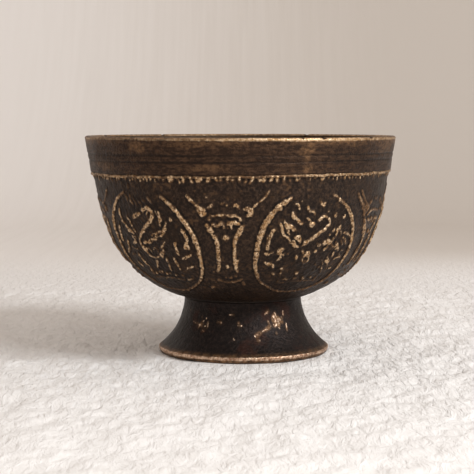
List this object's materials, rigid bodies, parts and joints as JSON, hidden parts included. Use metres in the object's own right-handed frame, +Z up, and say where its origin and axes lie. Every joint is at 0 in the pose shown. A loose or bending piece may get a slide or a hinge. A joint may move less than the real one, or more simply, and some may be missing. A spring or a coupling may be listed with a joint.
{
  "type": "footed bowl",
  "caption": "Open cast brass bowl on a flared hollow foot, with a turned rim band above relief medallions and pillars.",
  "frame": {"origin": "centre of the ring that the foot stands on, at the bottom of the object", "axes": "+Z up along the bowl's axis; -Y is the front, with a pillar motif 6 degrees towards -X from it"},
  "size_m": [0.12, 0.12, 0.084],
  "materials": {
    "bowl_brass": "cast brass with a dark brown patina, worn to golden brass on the relief and the lip; the rim band is turned",
    "foot_brass": "smooth turned brass under a near black patina, worn bright along its lower edge and in one patch",
    "hard_solder": "dull brass spelter (hard solder), darkened, left as it ran"
  },
  "bodies": {
    "root": {"bowl": "bowl_brass", "foot": "foot_brass", "solder_ring": "hard_solder"}
  },
  "joints": []
}
